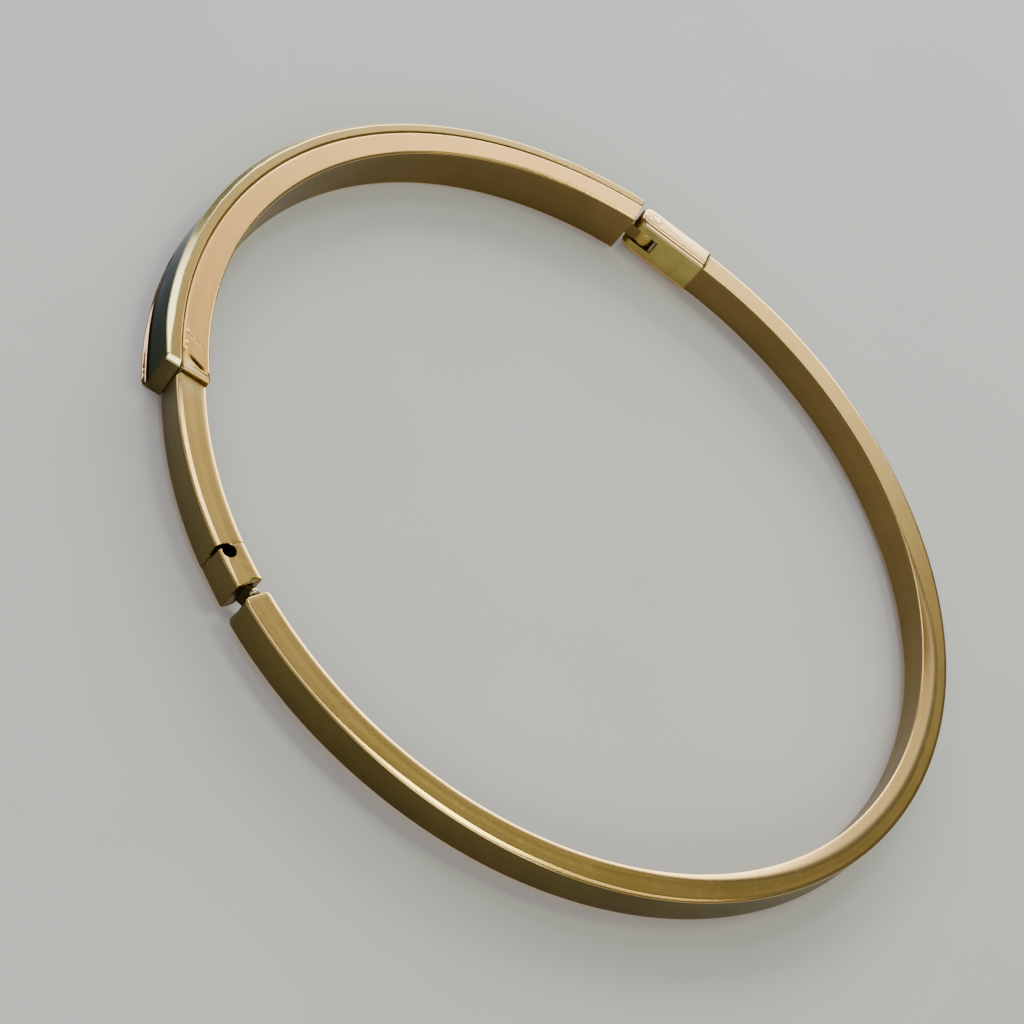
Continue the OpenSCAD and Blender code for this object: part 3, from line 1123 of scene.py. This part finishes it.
def gold(name, colour, dark, pale, roughness, roughness_spread=0.035, relief=0.25, streak=(8.0, 0.13),
         scratch=0.1, cloud=(5.0, 0.0), centre_y=0.0, dust=0.0, edge_tint=(1.0, 1.0, 1.0)):
    """Gold-tone metal: its colour with darker clouds, paler worn edges partly painted as highlights, painted
    shade in cuts and joins, drawn grain, hairlines and dust.

    streak is the grain's length and width in millimetres, cloud the clouds' size and seed, and centre_y the
    place on the Y axis that the grain runs round.
    """
    material, tree, shader = new_finish(name)
    shader["Metallic"].default_value = 1.0
    shader["Specular Tint"].default_value = (*edge_tint, 1.0)
    place = use(tree, "place", {"Centre Y": centre_y})
    grain = use(tree, "grain", {"Along": place["Along"], "Radius": place["Radius"], "Height": place["Height"],
                                "Streak Length": streak[0], "Streak Width": streak[1]})
    clouds = use(tree, "cloud", {"Blotch Size": cloud[0], "Seed": cloud[1]})
    edges = use(tree, "worn")
    wear_and_highlight = edges["Wear"]
    tone = mixed(tree, times(tree, clouds["Cloud"], CLOUD_SHARE), colour, dark)
    tone = mixed(tree, times(tree, grain["Tone"], GRAIN_SHARE), tone, dark)
    # The pale mix is wear with painted highlights; the dark mix after it is painted shade in cuts and joins.
    tone = mixed(tree, times(tree, wear_and_highlight, WEAR_AND_HIGHLIGHT_SHARE), tone, pale)
    tone = mixed(tree, times(tree, edges["Soil"], PAINTED_SHADE_SHARE), tone, PAINTED_SHADE_COLOUR)
    if dust:
        tone = mixed(tree, use(tree, "dust", {"Share": dust})["Speck"], tone, DUST)
    tree.links.new(tone, shader["Base Color"])
    drawn = spread(tree, grain["Tone"], 0.0, 1.0, roughness - roughness_spread, roughness + roughness_spread)
    varied = maths(tree, "ADD", drawn, times(tree, clouds["Fleck"], roughness_spread))
    varied = maths(tree, "SUBTRACT", varied, times(tree, wear_and_highlight, roughness_spread), clamp=True)
    tree.links.new(varied, shader["Roughness"])
    height = maths(tree, "SUBTRACT", grain["Relief"], times(tree, use(tree, "hairlines")["Line"], scratch))
    bump = add(tree, "Bump", {"Strength": relief, "Distance": RELIEF_DEPTH * MM, "Height": height})
    tree.links.new(bump.outputs[0], shader["Normal"])
    return material


# Finishes, each in its own words


def satin_flat():
    return gold("satin flat", (0.64, 0.43, 0.13), (0.50, 0.32, 0.075), (0.96, 0.72, 0.30), 0.28,
                relief=0.09, scratch=0.06)


def polished_bevel():
    return gold("polished bevel", (0.97, 0.63, 0.21), (0.88, 0.54, 0.15), (0.98, 0.74, 0.32), 0.18, 0.03,
                relief=0.05, scratch=0.03)


# Painted shade: the outer walls' dark colour stands in for the shadowed floor that polished gold walls would
# reflect.
def outer_wall_painted_shade():
    return gold("outer wall painted shade", (0.18, 0.132, 0.04), (0.11, 0.08, 0.024), (0.34, 0.26, 0.09), 0.36)


def inner_wall(centre_y=0.0):
    return gold("inner wall", (0.26, 0.17, 0.06), (0.17, 0.11, 0.035), (0.6, 0.45, 0.2), 0.34,
                centre_y=centre_y)


def cut_metal():
    return gold("cut metal", (0.24, 0.18, 0.07), (0.12, 0.09, 0.035), (0.6, 0.46, 0.2), 0.42,
                streak=(0.6, 0.08))


def arch_flat():
    return gold("arch flat", (0.83, 0.49, 0.14), (0.70, 0.38, 0.09), (0.98, 0.76, 0.36), 0.30,
                relief=0.2, centre_y=ARCH[1])


def cover_flat():
    return gold("cover flat", (0.44, 0.29, 0.09), (0.34, 0.22, 0.06), (0.96, 0.72, 0.32), 0.30,
                relief=0.2, centre_y=ARCH[1])


def cover_bevel():
    return gold("cover bevel", (1.0, 0.86, 0.40), (0.92, 0.76, 0.30), (1.0, 0.92, 0.52), 0.2, 0.04,
                relief=0.08, scratch=0.03, centre_y=ARCH[1])


def cover_panel_painted_reflection():
    """The arch's polished face: its dark colour and dimmed edge tint are a painted reflection of the dark,
    shadowed floor, its pale colour paints the highlight along the ledge, and it has a few specks of dust.
    """
    return gold("cover panel painted reflection", (0.10, 0.085, 0.035), (0.07, 0.058, 0.023), (0.95, 0.60, 0.38), 0.13, 0.04,
                relief=0.15, centre_y=ARCH[1], dust=0.2, edge_tint=(0.41, 0.46, 0.51))


# Painted shade: the cover's end face is coloured dark in place of the pale floor it would reflect.
def cover_end_painted_shade():
    return gold("cover end painted shade", (0.11, 0.086, 0.03), (0.07, 0.054, 0.018), (0.5, 0.38, 0.16), 0.38)


def block_gold():
    return gold("block gold", (0.98, 0.66, 0.28), (0.94, 0.60, 0.22), (0.98, 0.76, 0.38), 0.24, relief=0.06)


def block_wall():
    return gold("block wall", (0.60, 0.48, 0.15), (0.26, 0.19, 0.06), (0.9, 0.72, 0.34), 0.34,
                cloud=(2.2, 3.0))


def rivet_gold():
    return gold("rivet gold", (0.93, 0.70, 0.38), (0.86, 0.60, 0.30), (0.96, 0.78, 0.48), 0.28,
                streak=(0.5, 0.05))


def tongue_gold():
    return gold("tongue gold", (0.98, 0.80, 0.46), (0.90, 0.68, 0.34), (1.0, 0.88, 0.6), 0.22,
                relief=0.02, streak=(0.8, 0.3))


# Painted shade: the tongue's sides and root are coloured near black as they sit in the clasp's dark gap.
def tongue_shade():
    return gold("tongue shade", (0.05, 0.038, 0.013), (0.03, 0.023, 0.008), (0.10, 0.08, 0.03), 0.4)


def floor_finish():
    material, tree, shader = new_finish("pale floor")
    shader["Roughness"].default_value = 0.75
    clouds = use(tree, "cloud", {"Blotch Size": 30.0, "Seed": 5.0})
    tone = mixed(tree, clouds["Cloud"], (0.82, 0.82, 0.83), (0.78, 0.78, 0.79))
    tree.links.new(tone, shader["Base Color"])
    return material


# The camera, the floor and the lights


def place_camera():
    """The photo's viewing angle: its azimuth, height, roll and distance, in degrees and millimetres."""
    azimuth, elevation, roll = (math.radians(value) for value in (105.0, 42.76, 43.27))
    distance, side, rise, focal_px, frame_px = 178.7, -4.06, 0.11, 2500, 1024
    aim = Vector((0, 0, 0.5))
    back = Vector((math.sin(azimuth) * math.cos(elevation), -math.cos(azimuth) * math.cos(elevation),
                   math.sin(elevation)))
    right = Vector((0, 0, 1)).cross(back).normalized()
    up = back.cross(right)
    rolled_right = math.cos(roll) * right + math.sin(roll) * up
    rolled_up = math.cos(roll) * up - math.sin(roll) * right
    camera = placed("camera", bpy.data.cameras.new("camera"))
    camera.data.sensor_width = 36
    camera.data.lens = focal_px / frame_px * camera.data.sensor_width
    camera.data.clip_start = 0.01
    camera.data.clip_end = 20
    camera.location = (aim + back * distance + rolled_right * side + rolled_up * rise) * MM
    turned = camera.matrix_world.to_3x3()
    turned.col[0], turned.col[1], turned.col[2] = rolled_right, rolled_up, back
    camera.rotation_mode = "QUATERNION"
    camera.rotation_quaternion = turned.to_quaternion()
    bpy.context.scene.camera = camera


def make_floor():
    mesh = bmesh.new()
    bmesh.ops.create_grid(mesh, x_segments=1, y_segments=1, size=1.5)
    floor = finished_object("floor", mesh)
    floor.data.materials.append(floor_finish())


def softbox(name, direction, elevation, size, power, colour=(1, 1, 1), distance=0.55):
    """A soft rectangular light in a direction from the ring's middle, angles in degrees, sizes in metres."""
    turn, rise = math.radians(direction), math.radians(elevation)
    away = Vector((math.cos(turn) * math.cos(rise), math.sin(turn) * math.cos(rise), math.sin(rise)))
    light = bpy.data.lights.new(name, "AREA")
    light.shape = "RECTANGLE"
    light.size, light.size_y = size
    light.energy = power
    light.color = colour
    made = placed(name, light)
    made.location = away * distance
    made.rotation_mode = "QUATERNION"
    made.rotation_quaternion = away.to_track_quat("Z", "Y")


def light_stage():
    softbox("far_window", 213, 21, (0.50, 0.25), 2.3)
    softbox("far_upper", 217, 42, (0.42, 0.15), 0.14)
    softbox("left_window", 268, 32, (0.26, 0.20), 0.6)
    softbox("overhead_far", 236, 60, (0.13, 0.11), 0.22)
    softbox("overhead_near", 168, 72, (0.12, 0.11), 0.42, (0.92, 1.0, 0.42))
    softbox("overhead_side", 151, 58, (0.08, 0.12), 0.05, (1.0, 0.95, 0.6))
    softbox("overhead_top", 200, 86, (0.34, 0.30), 0.28)
    softbox("near_window", 42, 28, (0.46, 0.26), 1.3, distance=0.6)
    world = bpy.data.worlds.new("studio")
    world.use_nodes = True
    background = world.node_tree.nodes["Background"].inputs
    background["Color"].default_value = (0.95, 0.97, 1.0, 1.0)
    background["Strength"].default_value = 0.12
    bpy.context.scene.world = world


place_camera()
make_floor()
light_stage()


def dress(piece, body, node, materials):
    """Gives a piece its finishes, its body and the node that it stands for."""
    for material in materials:
        piece.data.materials.append(material)
    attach(piece, body)
    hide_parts(node)


RING_FINISHES = [satin_flat(), polished_bevel(), outer_wall_painted_shade(), inner_wall(), cut_metal()]
ARCH_FINISHES = [arch_flat(), inner_wall(ARCH[1])]

dress(cut_tongue_root(make_rear_band()), "rear_half", "rear_band", RING_FINISHES)
dress(make_front_half(), "front_half", "front_band", RING_FINISHES + ARCH_FINISHES)
dress(make_cover(), "front_half", "front_cover",
      [cover_flat(), cover_bevel(), cover_panel_painted_reflection(), inner_wall(ARCH[1]), cover_end_painted_shade()])
dress(make_clasp_box(), "front_half", "clasp_box", RING_FINISHES)
dress(make_tongue(), "rear_half", "clasp_tongue",
      [tongue_gold(), tongue_gold(), tongue_shade(), tongue_shade(), tongue_shade()])
dress(make_hinge_block(), "rear_half", "hinge_block",
      [block_gold(), polished_bevel(), block_wall(), inner_wall(), cut_metal()])
dress(make_pin(), "rear_half", "hinge_pin", [rivet_gold()] * 5)
